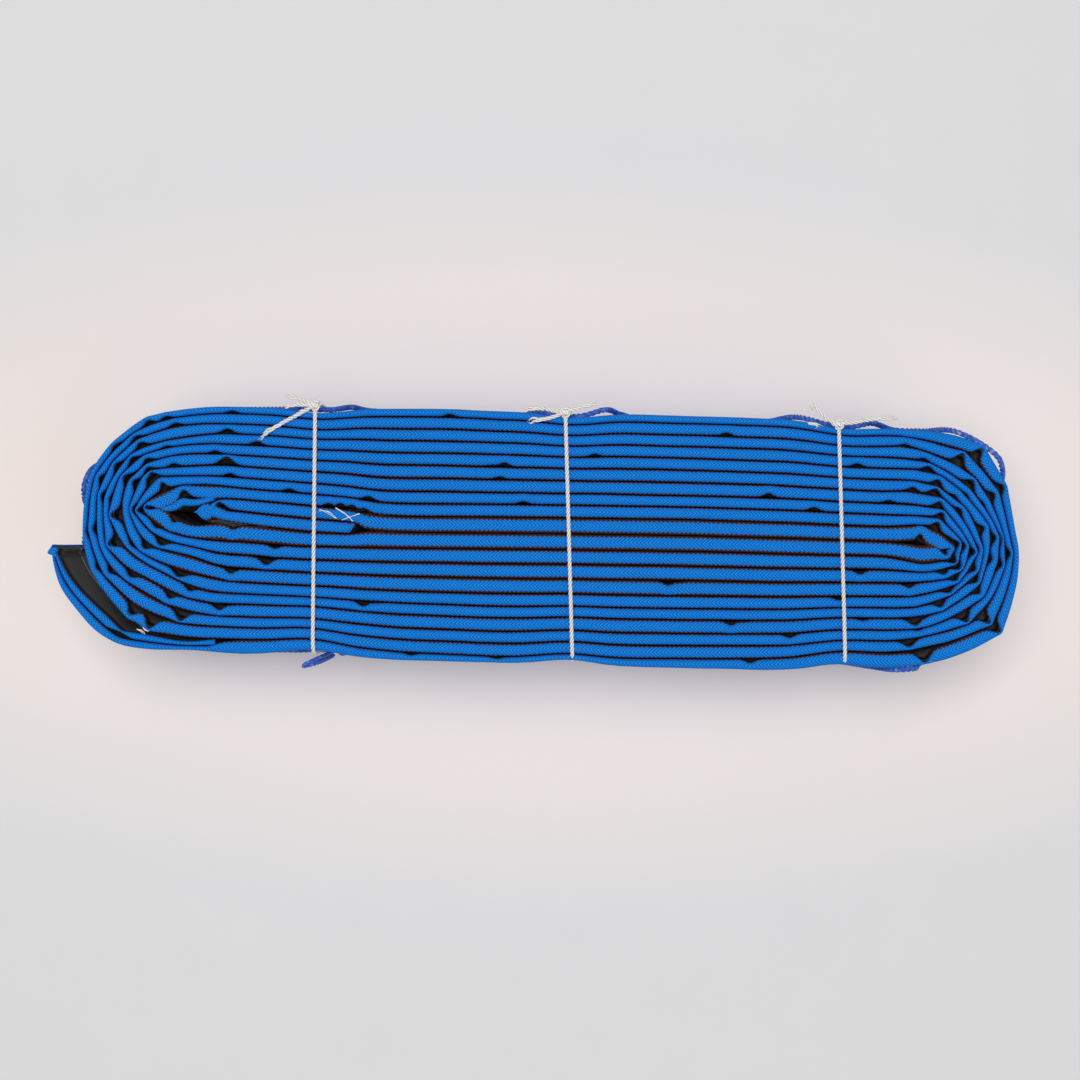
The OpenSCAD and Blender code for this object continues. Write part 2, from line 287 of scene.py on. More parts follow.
twines = {
    "diameter": 2.1,
    "lay": 7.2,
    "places": (-113, 14.5, 151),
    "farSide": 65.85,     # the loops' reach away from the roll's middle, and its fall to the right
    "farFall": 4,
    "nearSide": 60.35,
    "nearFall": 5,
    "over": 106.2,        # heights of a loop's two long stretches
    "under": 1.125,
    "bend": 4.5,
    "tails": {
        "left": [
            [(-118, 62, 1.4), (-123, 59, 1.3), (-130, 55, 1.3), (-137, 50.5, 1.3),
             (-142, 47, 1.3)],
            [(-118.5, 65.5, 1.6), (-122, 67, 1.6), (-126, 68, 1.8), (-129, 68.5, 1.9)],
            [(-119, 64, 3.6), (-124, 64, 2.8), (-130.5, 63, 1.5)],
        ],
        "middle": [
            [(6, 64.5, 1.6), (1, 65.5, 1.6), (-5, 65.5, 1.5), (-10.5, 65, 1.3)],
            [(6, 62, 1.6), (1, 60.5, 1.4), (-3, 60, 1.3), (-7.5, 59.5, 1.3)],
            [(15.5, 65.8, 1.8), (20, 67, 2), (24, 68.5, 2.2), (27.5, 70, 2.2)],
        ],
        "right": [
            [(152.8, 62.6, 1.8), (158, 63.6, 1.6), (164, 64.8, 1.4), (171, 65.6, 1.4),
             (177.5, 66, 1.4)],
            [(141.5, 64.5, 1.8), (137.5, 68, 1.8), (133, 72, 1.8)],
        ],
    },
    "tailNodes": {
        "left": ["twine_left_long_tail", "twine_left_upper_tail", "twine_left_lower_tail"],
        "middle": ["twine_middle_long_tail", "twine_middle_short_tail",
                   "twine_middle_right_tail"],
        "right": ["twine_right_long_tail", "twine_right_left_tail"],
    },
    "offcut": [(132, 62, 1.3), (136, 61.6, 1.3), (138, 61, 1.3)],
}


def cottonTwine():
    # three-ply cotton twine: warm white, dry and hairy, with painted shade in the grooves between
    # plies
    material = bpy.data.materials.new("cotton_twine")
    material.use_nodes = True
    tree = material.node_tree
    shader = tree.nodes["Principled BSDF"]
    shader.inputs["Roughness"].default_value = 0.95
    shader.inputs["Sheen Weight"].default_value = 0.25
    shader.inputs["Sheen Roughness"].default_value = 0.6
    uv = addNode(tree, "UVMap", uv_map="UVMap").outputs["UV"]
    split = addNode(tree, "SeparateXYZ", {"Vector": uv})
    plies = addNode(tree, "Math", {0: split.outputs["Y"], 1: 3.0}, operation="MULTIPLY")
    half = addNode(tree, "Math", {0: plies.outputs[0], 1: 0.5}, operation="ADD")
    across = addNode(tree, "Math", {0: half.outputs[0]}, operation="FRACT")
    centred = addNode(tree, "Math", {0: across.outputs[0], 1: 0.5}, operation="SUBTRACT")
    groove = addNode(tree, "Math", {0: centred.outputs[0]}, operation="ABSOLUTE")
    # painted shade: the grooves between the three plies are darker than their crowns
    shade = addNode(tree, "ValToRGB", {"Fac": groove.outputs[0]})
    shade.color_ramp.elements[0].position = 0.18
    shade.color_ramp.elements[0].color = toLinear("#FFFDFB")
    shade.color_ramp.elements[1].position = 0.5
    shade.color_ramp.elements[1].color = toLinear("#B9AFA6")
    fibres = addNode(tree, "Mapping", {"Vector": uv, "Scale": (2200, 45, 1)}).outputs["Vector"]
    grain = addNode(tree, "TexNoise", {"Vector": fibres, "Scale": 1.0, "Detail": 2.0})
    tint = addNode(tree, "ValToRGB", {"Fac": grain.outputs["Fac"]})
    tint.color_ramp.elements[0].position = 0.3
    tint.color_ramp.elements[0].color = toLinear("#EAE2DA")
    tint.color_ramp.elements[1].position = 0.6
    tint.color_ramp.elements[1].color = toLinear("#FFFFFF")
    mixed = addNode(tree, "Mix", {0: 0.6, 6: shade.outputs["Color"], 7: tint.outputs["Color"]},
                    data_type="RGBA", blend_type="MULTIPLY")
    tree.links.new(mixed.outputs[2], shader.inputs["Base Color"])
    bump = addNode(tree, "Bump", {"Height": grain.outputs["Fac"], "Strength": 0.6,
                                  "Distance": 0.0002})
    tree.links.new(bump.outputs["Normal"], shader.inputs["Normal"])
    return material


def ease(share):
    share = np.clip(share, 0, 1)
    return share * share * (3 - 2 * share)


def loopSize(x):  # how far a twine loop reaches towards the far side and the near side
    fall = float(ease((x - 100) / 100))
    return (twines["farSide"] - twines["farFall"] * fall,
            twines["nearSide"] - twines["nearFall"] * fall)


def loopSlant(x):
    return math.radians(1 if x < 0 else 3.2)


def twineLoop(x):
    far, near = loopSize(x)
    slant = loopSlant(x)
    bend, low, top = twines["bend"], twines["under"], twines["over"]
    corners = [(far - 3.5, top), (far - 12, top), (bend - near, top), (-near, top - bend),
               (-near, low + bend), (bend - near, low), (far - bend, low), (far, low + bend),
               (far, top - bend), (far - 1.2, top - 1.2), (far - 3.0, top + 0.2)]
    line = []
    for (y0, z0), (y1, z1) in zip(corners, corners[1:]):
        for share in np.linspace(0, 1, 6, endpoint=False):
            line.append((0, y0 + (y1 - y0) * share, z0 + (z1 - z0) * share))
    line = np.array(line)
    for _ in range(2):
        line[1:-1] = (line[:-2] + line[1:-1] * 2 + line[2:]) / 4
    return np.stack([x - line[:, 1] * math.sin(slant), line[:, 1] * math.cos(slant),
                     line[:, 2]], axis=1)


def knotPlace(x):
    far, _ = loopSize(x)
    return np.array((x - far * math.sin(loopSlant(x)), far - 1.6, twines["over"]))


def knotLine(centre, turn):
    # an overhand knot drawn tight: the trefoil that a single strand makes
    t = np.linspace(0.35, 2 * math.pi + 0.1, 90)
    x = (np.sin(t) + 2 * np.sin(2 * t)) * 1.05
    y = (np.cos(t) - 2 * np.cos(2 * t)) * 0.8
    z = -np.sin(3 * t) * 1.1
    c, s = math.cos(turn), math.sin(turn)
    return np.stack([centre[0] + c * x - s * y, centre[1] + s * x + c * y,
                     centre[2] + 0.6 + z], axis=1)


def addFrayedTail(bm, line, radius, lay, seed, opened=0.55):
    # laid tight at first, then its plies open out and end in loose fibres
    draw = np.random.default_rng(seed)
    length = lineLength(line)
    split = max(2, int(len(line) * opened))
    addStrand(bm, line[:split + 1], radius, lay=lay, taper=lambda s: np.clip(s * 40, 0.3, 1))
    rest = line[split - 1:]
    sides, ups = carriedFrames(rest)
    share = np.linspace(0, 1, len(rest))
    for ply in range(3):
        angle = 2 * math.pi * ply / 3 + 2 * math.pi * length * opened / lay
        spread = radius * (0.5 + draw.uniform(0.3, 1.2) * share ** 1.5)
        twist = angle + 2 * math.pi * share * lineLength(rest) / (lay * 1.6)
        path = (rest + (spread * np.cos(twist))[:, None] * sides
                + (spread * np.sin(twist) * 0.5)[:, None] * ups)
        keep = int(len(path) * draw.uniform(0.72, 1.0))
        if keep > 3:
            addStrand(bm, path[:keep], radius * 0.5, plies=1, lobe=7, lay=60,
                      taper=lambda s: np.clip((1 - s) * 5, 0.12, 1) ** 0.5)
        for _ in range(3):  # loose fibres
            start = path[max(0, keep - 4)]
            ahead = path[keep - 1] - path[max(0, keep - 6)]
            ahead = ahead / (np.linalg.norm(ahead) + 1e-9)
            side = draw.normal(0, 0.5, 3) * (1, 1, 0.4)
            reach = draw.uniform(0.8, 2.4)
            hair = smoothLine([start, start + (ahead + side * 0.4) * reach * 0.5,
                               start + (ahead + side) * reach], 0.4)
            addStrand(bm, hair, 0.09, plies=1, lobe=4, lay=60)


def makeTwines(parts):
    material = cottonTwine()
    radius = parts["diameter"] / 2
    for side, x in zip(("left", "middle", "right"), parts["places"]):
        centre = knotPlace(x)
        bm = bmesh.new()
        addStrand(bm, smoothLine(knotLine(centre, 0.2), 0.35), radius * 0.95,
                  lay=parts["lay"])
        knot = finishPiece(bm, f"twine_{side}_tied_knot", material,
                           [f"twine_{side}_knot"])
        lines = [smoothLine(np.array(route) + (0, 0, hoseWidth), 0.5)
                 for route in parts["tails"][side]]
        for number, (line, node) in enumerate(zip(lines[1:], parts["tailNodes"][side][1:])):
            bm = bmesh.new()
            start = smoothLine([centre + (0, 0, 0.8), line[0], line[3]], 0.5)
            addFrayedTail(bm, np.vstack([start[:-1], line[3:]]), radius, parts["lay"],
                          seed=number + 5, opened=0.6)
            finishPiece(bm, f"twine_{side}_loose_end_{number + 1}", material,
                                     [node])
        loop = twineLoop(x)
        join = smoothLine([loop[-1], centre + (0, 0, 0.5), lines[0][0]], 0.5)
        whole = evenly(np.vstack([loop, join[1:-1], lines[0]]), 0.5)
        bm = bmesh.new()
        tail = int(lineLength(lines[0]) * 1.5)  # the frayed stretch, in half millimetres
        addStrand(bm, whole[:-tail + 1], radius, lay=parts["lay"])
        addFrayedTail(bm, whole[-tail:], radius, parts["lay"], seed=3, opened=0.35)
        tied = finishPiece(bm, f"twine_{side}_round_roll", material,
                           [f"twine_{side}_loop", parts["tailNodes"][side][0]])
    bm = bmesh.new()
    line = smoothLine(np.array(parts["offcut"]) + (0, 0, hoseWidth), 0.5)
    addFrayedTail(bm, line, radius * 0.8, parts["lay"], seed=11, opened=0.6)
    finishPiece(bm, "twine_cut_scrap", material, ["twine_offcut"])


makeTwines(twines)
print("twines made")


# Hose: one length of flat woven hose on its edge, wound clockwise from the inside out.
# The rail is the wall on the left of its travel; a third number is how deep a crease is.

hose = {
    "thickest": (9.0, 8.0, 7.2),  # at the inner end, a third of the way and at the outer end
    "gap": 0.35,              # between neighbouring turns
    # where each turn's two straight runs lie between the core and the outermost ones
    "topShares": (0.117, 0.223, 0.32, 0.43, 0.535, 0.635, 0.735, 0.83, 0.93, 1),
    "lowShares": (0.13, 0.24, 0.35, 0.465, 0.56, 0.645, 0.75, 0.84),
    "pinch": 2.8,             # how far a twine draws the long sides in
    "openFrom": 1180.0,       # the outermost turn's length, seen from outside
    "foldBack": 104.0,        # the loose end's last stretch, turned back against the roll
    "endSlant": 3.2,          # the inner end's cut, out of square
    "linerInset": 1.6,        # from the jacket's outside to the liner's
}

innerEnd = [(-94, 0.5), (-116, 1), (-139.5, 3), (-158, 5), (-170, 7.5), (-176, 9, 0.3),
            (-171.5, 10.5), (-166.5, 13), (-162, 15.5, 0.8), (-156.5, 16.5)]

rightEnds = [
    [(191, 13, 0.5), (202.5, 9), (209, 1.5, 0.6), (205.5, -4, 0.75), (191, -7)],
    [(187.5, 17.5), (200, 16.5, 0.7), (208.5, 8.5, 0.3), (211.5, 5, 0.7), (211, -1),
     (209.5, -6.5, 0.8), (201, -9.5), (192.5, -11)],
    [(185, 23), (202, 21, 0.7), (210, 12), (215.5, 3.5, 0.5), (214.5, -4.5), (212, -9.5, 0.7),
     (204, -14, 0.5), (194, -15.5)],
    [(182.5, 30), (201, 27, 0.6), (208.5, 20.5), (216, 9.5), (220, 0, 0.7), (215.5, -8.5),
     (210.5, -16, 0.6), (200, -20)],
    [(186.5, 35, 0.4), (198.5, 32.5, 0.75), (212, 23, 0.5), (215.5, 19), (222.5, 2.5, 0.3),
     (222, -4), (220.5, -10, 0.6), (211.5, -18), (207, -22, 0.6), (201, -24.5)],
    [(187, 41), (200, 38, 0.6), (210, 31, 0.25), (220.5, 19.5), (225, 13.5, 0.6), (226, 6),
     (225.5, 0), (221.5, -15.5, 0.6), (218, -19.5), (203, -30, 0.6), (194.5, -32.5)],
    [(190.5, 45), (194.5, 44, 0.6), (204, 39.5), (215.5, 31.5, 0.2), (225.5, 18),
     (230.5, 8, 0.6), (230, -4, 0.4), (226, -16.5), (223.5, -22.5, 0.5), (212.5, -30),
     (202, -35.5), (194.5, -38.5, 0.2), (189.5, -39, 0.75), (183, -40)],
    [(182.5, 52.5), (192.5, 49.5, 0.3), (199.5, 47), (208.5, 43.5), (217.5, 37, 0.75),
     (225, 26.5, 0.2), (230.5, 14), (232.5, 7, 0.5), (233.5, -6, 0.6), (230.5, -16), (226, -25),
     (216, -36, 0.85), (206.5, -39.5), (191.5, -43.5, 0.2)],
    [(193, 55), (211.5, 50.5, 0.85), (218, 44.5), (225, 36.5), (229.5, 30.5, 0.6), (232, 22.5),
     (235, 10), (237.5, 0, 0.65), (236.5, -11.5), (232, -27), (227.5, -36.5, 0.85),
     (206.5, -45.5), (187, -50, 0.7)],
    [(198, 60), (208.5, 58.2), (221.5, 53.5, 0.8), (233.5, 34, 0.65), (239, 7), (240.5, 3),
     (240.2, -13), (237, -28), (233, -40.5, 0.85), (219.5, -48.5), (206.5, -54),
     (195, -57, 0.85), (182, -59)],
]

leftEnds = [
    [(-177, -3.5), (-186, -1, 0.4), (-194.5, 3.5), (-199, 8), (-199.5, 11.5, 0.9), (-196.5, 15),
     (-191, 18.5), (-184.5, 21), (-180, 22.5, 0.7), (-165, 23)],
    [(-171.5, -8.5), (-186, -6), (-195, -1.5, 0.3), (-200.5, 4), (-204, 9, 0.7), (-202, 13),
     (-200, 17), (-195, 23.5), (-191.5, 26.5, 0.6), (-180, 27), (-164, 27.5)],
    [(-171.5, -13.5), (-190.5, -9.5, 0.7), (-194, -8.5), (-199, -5.5), (-201.5, -2), (-204, 3.5),
     (-206.5, 9.5, 0.5), (-206, 12), (-203.5, 18.5), (-202, 23), (-199.5, 27, 0.6),
     (-196.5, 29.5, 0.8), (-189, 31), (-175.5, 32)],
    [(-162, -23.5), (-171.5, -22), (-183, -19), (-193, -15.5), (-200, -11.5, 0.6),
     (-203.5, -8.5), (-207, -3.5), (-208.5, 2), (-210, 8), (-210.5, 13), (-209, 20.5),
     (-206.5, 25, 0.6), (-202.5, 29), (-199, 32.5, 0.5), (-195, 34.5), (-185.5, 37, 0.3),
     (-175.5, 38.5)],
    [(-175.5, -27.5), (-181.5, -24.5, 0.75), (-191.5, -20), (-201, -15), (-207, -10, 0.3),
     (-212, -3.5), (-215, 3), (-216.5, 6, 0.85), (-216, 12), (-214.5, 16.5), (-213, 23),
     (-210.5, 27, 0.7), (-205, 33), (-199.5, 37.5, 0.5), (-193.5, 39.5), (-186, 41.5),
     (-176, 43)],
    [(-161.5, -36.5), (-176, -34, 0.4), (-185.5, -30.5), (-194.5, -25.5), (-203.5, -21.5),
     (-208, -19.5), (-211.5, -15.5), (-217.5, -9, 0.85), (-218, -5), (-218.5, 0.5),
     (-219.5, 10.5), (-219, 15.5, 0.25), (-217, 21), (-214, 27), (-211, 31.5), (-207, 36.5, 0.6),
     (-203.5, 39.5), (-198.5, 41.5), (-189.5, 44.5, 0.25), (-176, 47)],
    [(-160, -42.5, 0.5), (-171, -41.5), (-186.5, -37.5, 0.5), (-192.5, -34.5), (-200, -30.5),
     (-206.5, -26.5, 0.5), (-212.5, -22), (-216.5, -17.5), (-219.5, -12), (-221.5, -7.5),
     (-222.5, 1.5), (-222.5, 8), (-222.5, 16.5, 0.5), (-221, 21), (-219, 26), (-215.5, 33, 0.6),
     (-210.5, 38.5), (-203, 45, 0.6), (-196, 48), (-187, 51), (-180.5, 52.5)],
    [(-170.5, -47.5), (-179.5, -46.5, 0.85), (-194, -42), (-201.5, -39), (-206.5, -35),
     (-211.5, -30), (-218, -24, 0.45), (-220.5, -20), (-223, -14), (-225, -8), (-227, -1, 0.4),
     (-226.5, 8), (-226, 15.5), (-224, 26, 0.45), (-216.5, 37), (-211.5, 42),
     (-205.5, 47.5, 0.5), (-202, 50), (-194, 53.5), (-185, 56, 0.4), (-176.5, 57.5)],
    [(-173, -54), (-188, -52.5), (-195.5, -51, 0.85), (-199.5, -48.5), (-206, -45, 0.7),
     (-212, -39.5), (-218.5, -31.5), (-225, -21.5, 0.3), (-228, -13), (-229.5, -2.5, 0.3),
     (-229.5, 5.5), (-229, 14.5), (-227.5, 23.5), (-226, 28.5), (-221.5, 36), (-216, 43, 0.45),
     (-205.5, 52), (-199, 56.5, 0.5), (-189.5, 59, 0.4), (-178.5, 61)],
    [(-151, -61.5), (-172.5, -60), (-193.5, -60.5), (-208.5, -59), (-220.5, -53), (-226, -47.5),
     (-232.5, -40), (-239.5, -31.5), (-242.5, -23.5), (-244.5, -14.5), (-244.8, -7, 0.3),
     (-241.5, -14), (-237, -23), (-229.5, -32), (-220.5, -40), (-214.5, -45),
     (-208.5, -51.5, 0.7), (-196.5, -52.5), (-187, -54.5), (-176, -56), (-167, -55),
     (-160, -54)],
]

# spare hose crumpled into the hollow beside the first fold
pleats = [
    [(-190, 11.5, 2.5), (-185, 13, 3.8), (-180, 16, 4), (-174, 15.6, 3.5), (-164, 17.5, 2.4)],
]

# creases on the long straight runs: turn, place along the roll, depth
farCreases = [(1, -106, 0.35), (1, -100, 0.45), (1, -94, 0.45), (1, -88, 0.35),
              (2, -126, 0.3), (2, -86, 0.4), (2, -9, 0.25), (2, 137, 0.35), (3, -156, 0.3),
              (3, 114, 0.35), (3, 174, 0.25), (4, -158, 0.8), (4, -21, 0.2), (5, -164, 0.3),
              (5, -19, 0.35), (6, -143, 0.4), (6, 26, 0.25), (6, 158, 0.35), (7, -158, 0.5),
              (8, 92, 0.3), (8, 182, 0.2), (9, -156, 0.35), (9, -47, 0.35)]
nearCreases = [(0, -154, 0.3), (1, -133, 0.3), (2, -137, 0.6), (2, 161, 0.35),
               (3, -155, 0.4), (3, 186, 0.35), (3, 65, 0.3), (4, 151, 0.3), (5, -88, 0.5),
               (6, 97, 0.35), (6, 163, 0.2), (7, 127, 0.35), (9, -63, 0.3), (9, -20, 0.3),
               (9, 107, 0.35)]


def atX(pairs, x):  # the height at x of a line through a few places
    return float(np.interp(x, [p[0] for p in pairs], [p[1] for p in pairs]))


def coreTop(x):  # the core's two faces, where the ten turns start from
    return atX([(-165, 11), (-120, 7.6), (-98, 6), (-84, 3), (-70, 2.5), (10, 4.3),
                (80, 5.2), (180, 4.7)], x)


def coreLow(x):
    return atX([(-152, 3.3), (-120, 1.1), (-70, 2.5), (10, 4.3), (80, 5.2), (180, 4.5)], x)


def outerTop(x):
    return atX([(-164, 62.5), (-95, 63.3), (-70, 64), (-45, 64.5), (-20, 63.9), (40, 64.5),
                (120, 64.2), (173, 61.3), (198, 60)], x)


def ninthLow(x):
    return atX([(-152, -54), (-120, -54), (-70, -58), (-20, -59), (40, -58), (80, -57.3),
                (120, -56), (176, -51.6)], x)


def tenthLow(x):
    return atX([(-152, -61.5), (-120, -60.5), (-70, -62.2), (-20, -62.2), (40, -62.3),
                (80, -62.3), (120, -62), (176, -59.8)], x)


def pinchAt(x):
    nearest = min(abs(x - place) for place in twines["places"])
    return hose["pinch"] * float(ease(1 - nearest / 26))


def topLevel(turn, x):
    share = hose["topShares"][turn]
    return coreTop(x) + share * (outerTop(x) - coreTop(x)) - pinchAt(x) * share ** 3


def lowLevel(turn, x):
    if turn == 9:
        return tenthLow(x) + pinchAt(x)
    if turn == 8:
        return ninthLow(x) + pinchAt(x) * 0.8
    share = hose["lowShares"][turn] / 0.94
    return coreLow(x) + share * (ninthLow(x) - coreLow(x)) + pinchAt(x) * share ** 3 * 0.8


def windHose():
    # every rail point in order of travel, as x, y and crease
    def spots(end):
        return [(x, y, (rest or [0])[0]) for x, y, *rest in end]

    route = spots(innerEnd)
    for turn in range(10):
        for level, creases, ends in ((topLevel, farCreases, rightEnds),
                                     (lowLevel, nearCreases, leftEnds)):
            begin, end = route[-1][0], ends[turn][0][0]
            side = 1 if end > begin else -1
            run = [(x, 0) for x in np.arange(begin + side * 13, end - side * 8, side * 11.0)]
            run += [(x, depth) for which, x, depth in creases
                    if which == turn and min(begin, end) + 4 < x < max(begin, end) - 4]
            for x, depth in sorted(run, key=lambda spot: side * spot[0]):
                route.append((x, level(turn, x) + chance.normal(0, 0.08), depth))
            route += spots(ends[turn])
    return np.array(route, float)


def blur(values, sigma):  # along the line, in samples
    reach = int(sigma * 3) + 1
    kernel = np.exp(-0.5 * (np.arange(-reach, reach + 1) / sigma) ** 2)
    kernel /= kernel.sum()
    padded = np.concatenate([np.repeat(values[:1], reach, 0), values,
                             np.repeat(values[-1:], reach, 0)])
    if values.ndim == 1:
        return np.convolve(padded, kernel, "valid")
    return np.stack([np.convolve(padded[:, k], kernel, "valid")
                     for k in range(values.shape[1])], axis=1)


def shapeRail(route):
    # samples 1 mm apart: rounded along the runs and left sharper at each crease
    along = distances(route[:, :2])
    at = np.linspace(0, along[-1], int(along[-1]) + 1)
    sharp = np.stack([np.interp(at, along, route[:, k]) for k in (0, 1)], axis=1)
    soft = blur(sharp, 4.0)
    crisp = blur(sharp, 1.6)
    corner = np.zeros(len(at))
    creases = [(s, depth) for s, depth in zip(along, route[:, 2]) if depth > 0]
    for s, depth in creases:
        corner = np.maximum(corner, min(1, depth + 0.3) * np.exp(-((at - s) / 5) ** 2))
    points = soft * (1 - corner[:, None]) + crisp * corner[:, None]
    tangents = unit(blur(unit(np.gradient(points, axis=0)), 2.2))
    inward = np.stack([tangents[:, 1], -tangents[:, 0]], axis=1)
    bend = -(tangents[:-1, 0] * tangents[1:, 1] - tangents[:-1, 1] * tangents[1:, 0])
    bend = blur(np.concatenate([bend, bend[-1:]]), 3.0)
    return at, points, tangents, inward, bend, creases


def roomInward(points, tangents, inward, at):
    # distance from the rail to whatever lies on its inner side
    room = np.full(len(at), 99.0)
    others, theirs, theirAt = points[::2], inward[::2], at[::2]
    for start in range(0, len(at), 400):
        part = slice(start, start + 400)
        gap = others[None] - points[part][:, None]
        ahead = (gap * inward[part][:, None]).sum(2)
        aside = np.abs((gap * tangents[part][:, None]).sum(2))
        far = np.hypot(ahead, aside)
        apart = np.abs(theirAt[None] - at[part][:, None])
        good = (ahead > 0.2) & (aside < 0.9 + 0.3 * ahead) & (apart > 2.2 * far + 8)
        facing = (inward[part] @ theirs.T) < -0.2
        reach = np.where(facing, (far - hose["gap"]) * 0.5, far - hose["gap"])
        room[part] = np.where(good, reach, 99.0).min(axis=1)
    return room


def layHose():
    # the rail with the thickness that each place has room for, and that its bend allows
    at, points, tangents, inward, bend, creases = shapeRail(windHose())
    room = roomInward(points, tangents, inward, at)
    thick = np.interp(at, [0, at[-1] * 0.35, at[-1]], hose["thickest"])
    thick = np.minimum(thick, room)
    thick = np.minimum(thick, 0.85 / np.maximum(bend, 1e-4))
    thick = np.minimum(blur(thick, 2.5), room)
    thick = np.maximum(blur(thick, 1.0), 0.5)
    return at, points, tangents, inward, thick, creases, bend


def ringPlaces(at, points, creases, bend, fine, coarse):
    # where the hose's rings stand: closer at bends, creases, twines and the roll's two ends
    step = np.clip(0.3 / np.maximum(bend, 1e-4), 0.8, coarse)
    for s, depth in creases:
        step[np.abs(at - s) < 10] = fine
    for place in twines["places"]:
        near = (np.abs(points[:, 0] - place) < 26) & (step > 3)
        step[near] = 4.0
    ends = (np.abs(points[:, 0] - 15) > 175) & (step > 3)
    step[ends] = 3.0
    picked = [0.0]
    while picked[-1] < at[-1] - fine:
        picked.append(picked[-1] + float(np.interp(picked[-1], at, step)))
    picked[-1] = at[-1]
    return np.array(picked)


def hoseRings(laid, inset=0.0, low=0.0, high=hoseWidth, capDepth=3.1, waist=4.2, coarse=8.0,
              fine=1.5, wobble=0.5, slant=0.0):
    # rings round the flat hose: a rounded fold above, two pressed walls and a fold below
    at, points, tangents, inward, thick, creases, bend = laid
    places = ringPlaces(at, points, creases, bend, fine, coarse)
    centre = np.stack([np.interp(places, at, points[:, k]) for k in (0, 1)], axis=1)
    normal = unit(np.stack([np.interp(places, at, inward[:, k]) for k in (0, 1)], axis=1))
    width = np.interp(places, at, thick)
    lift = np.zeros(len(places))      # over the twines that pass under the roll
    for place in twines["places"]:
        lift = np.maximum(lift, 2.3 * ease(1 - (np.abs(centre[:, 0] - place) - 4) / 12))
    sway = wobble * (np.sin(places / 41.0) + np.sin(places / 17.3 + 1)) / 2
    top = high - wobble + np.minimum(sway, wobble)
    bottom = low + lift
    capped = np.minimum(capDepth, 0.45 * (top - bottom))
    notch = np.zeros(len(places))
    for s, depth in creases:
        notch = np.maximum(notch, depth * np.exp(-((places - s) / (2.2 + 2.4 * depth)) ** 2))
    fold = [(0.5 - 0.5 * math.sin(phi) ** 0.9, 1 - math.cos(phi) ** 0.9)
            for phi in np.radians([0, 18, 40, 64, 90])]
    # each column: share across from the rail, kind, level, how much a crease closes it
    columns = [(across, "top", level, 1) for across, level in fold]
    columns += [(0.0, "wall", level, 0.6) for level in (0.16, 0.5, 0.84)]
    columns += [(across, "low", level, 1) for across, level in fold[::-1]]
    half = len(columns)
    columns += [(1 - across, kind, level, depth) for across, kind, level, depth in columns[::-1]]
    rows = np.zeros((len(places), len(columns), 3))
    full = width - 2 * inset
    for k, (across, kind, level, depth) in enumerate(columns):
        mixed = full * (1 - notch * depth)
        start = inset
        if kind == "top":
            z = top - capped * level
        elif kind == "low":
            z = bottom + capped * level
        else:
            slim = np.minimum(mixed, np.maximum(waist - 2 * inset, 0.4))
            mixed = mixed + (slim - mixed) * (1 - abs(level - 0.5) * 1.2)
            start = inset + (full - mixed) * 0.35
            z = top - capped - (top - bottom - 2 * capped) * level
        rows[:, k, :2] = centre + normal * (start + mixed * across)[:, None]
        rows[:, k, 2] = z
        rows[0, k, 0] += slant * across
    steps = np.linalg.norm(np.diff(rows, axis=1), axis=2)
    girth = np.concatenate([np.zeros((len(places), 1)), np.cumsum(steps, axis=1)], axis=1)
    girth[:, half:] -= girth[:, -1:]
    uv = np.stack([np.broadcast_to(places[:, None], girth.shape), girth], axis=2)
    return rows, uv, places


